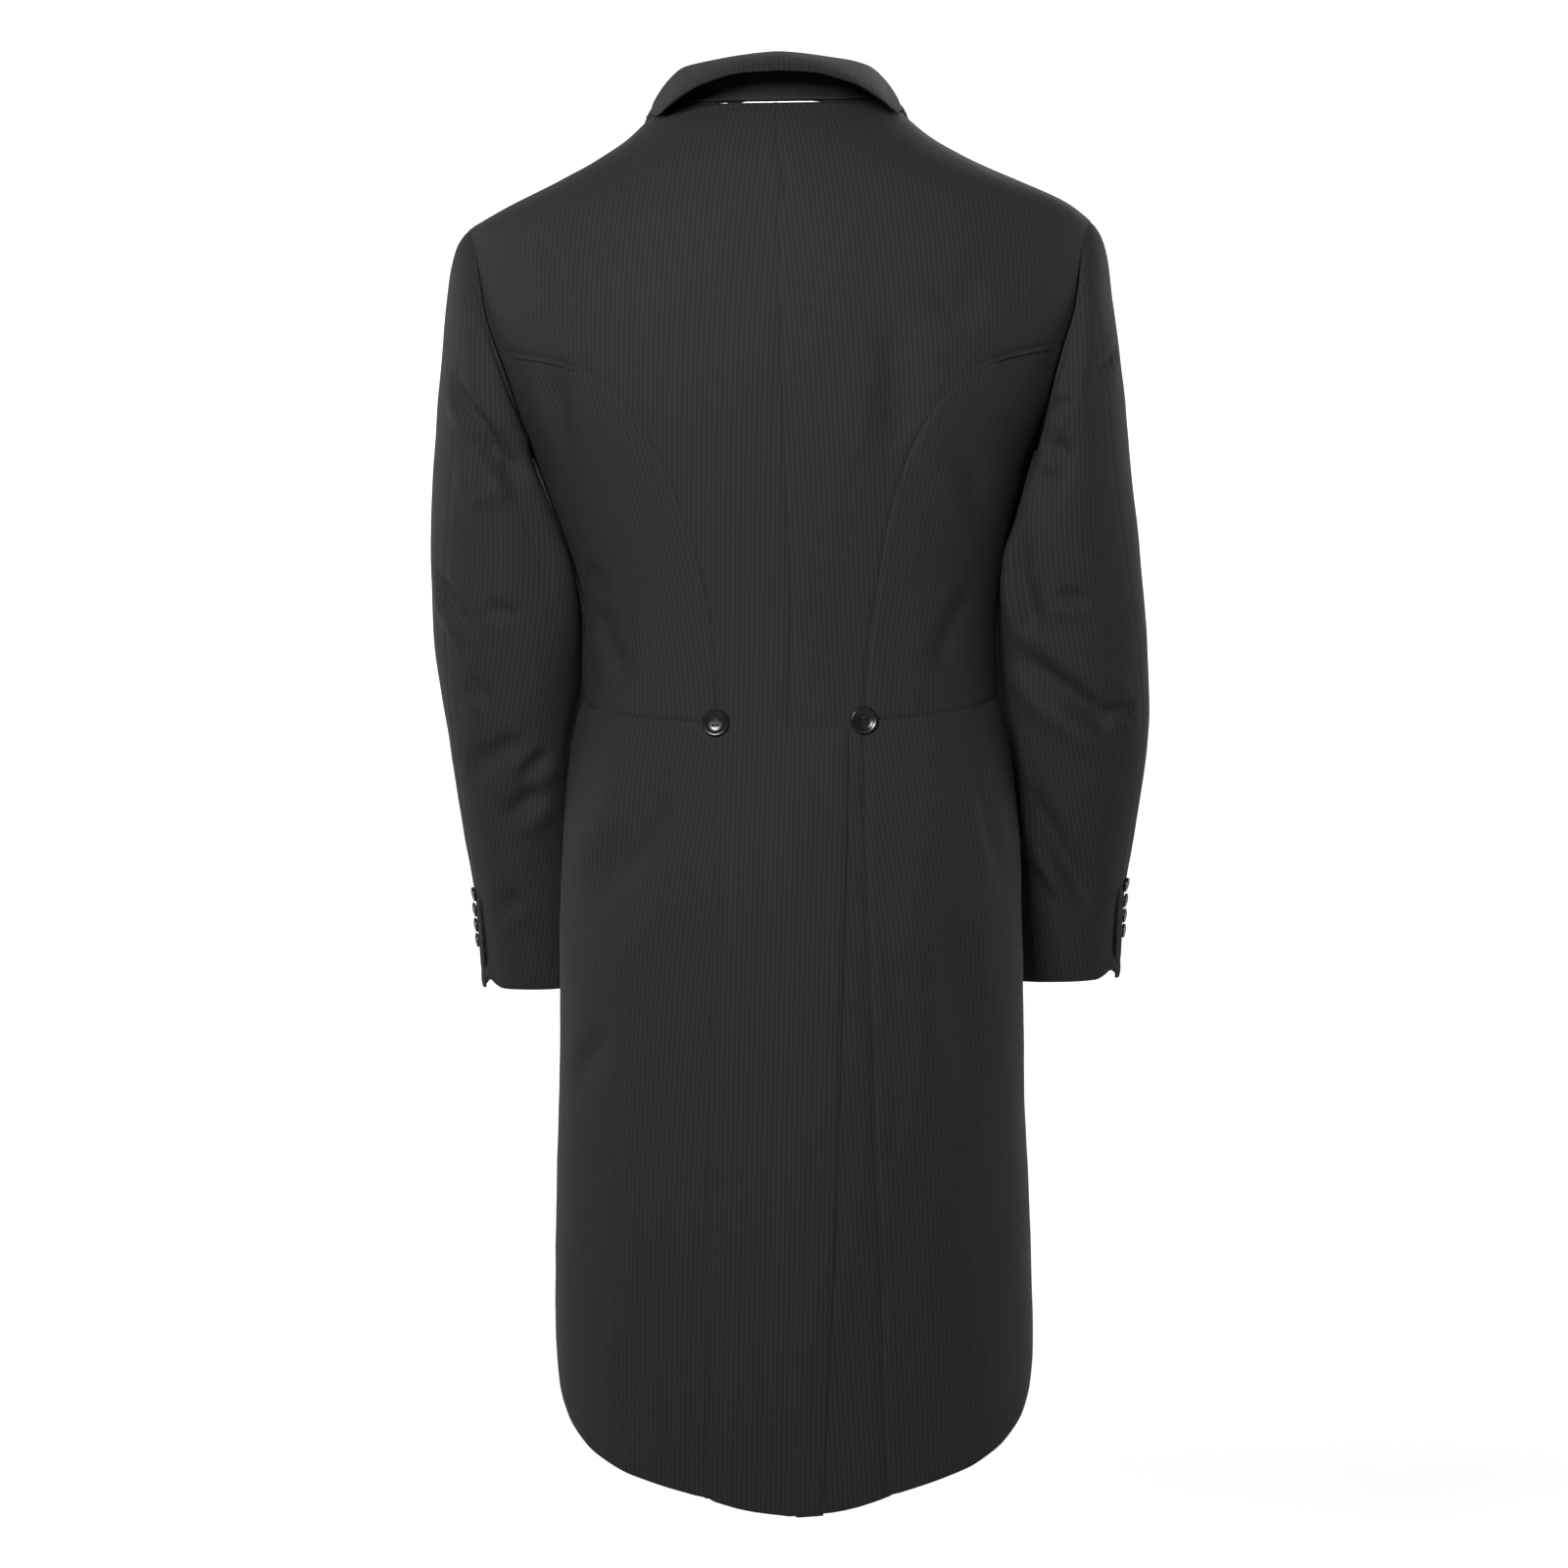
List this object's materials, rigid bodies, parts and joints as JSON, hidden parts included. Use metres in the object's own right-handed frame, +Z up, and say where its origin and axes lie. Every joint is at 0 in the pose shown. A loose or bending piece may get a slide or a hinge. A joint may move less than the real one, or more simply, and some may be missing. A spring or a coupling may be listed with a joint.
{
  "type": "morning coat",
  "caption": "Black wool morning coat, filled out as worn, with rounded tails, peaked lapels and a turned-down collar.",
  "frame": {"origin": "middle of the neck opening at the height of the shoulder's neck point, where the wearer carries the coat", "axes": "+Z up, +Y out of the coat's back, +X towards the wearer's left"},
  "size_m": [0.5406, 0.2878, 1.0687],
  "materials": {
    "black_wool": "matte",
    "black_button": "gloss"
  },
  "bodies": {
    "root": {"back_left": "black_wool", "side_body_left": "black_wool", "front_left": "black_wool", "skirt_left": "black_wool", "lapel_left": "black_wool", "sleeve_top_left": "black_wool", "sleeve_under_left": "black_wool", "back_right": "black_wool", "side_body_right": "black_wool", "front_right": "black_wool", "skirt_right": "black_wool", "lapel_right": "black_wool", "sleeve_top_right": "black_wool", "sleeve_under_right": "black_wool", "collar": "black_wool", "back_button_left": "black_button", "back_button_right": "black_button", "front_button": "black_button", "cuff_button_left_1": "black_button", "cuff_button_left_2": "black_button", "cuff_button_left_3": "black_button", "cuff_button_left_4": "black_button", "cuff_button_right_1": "black_button", "cuff_button_right_2": "black_button", "cuff_button_right_3": "black_button", "cuff_button_right_4": "black_button"}
  },
  "joints": []
}
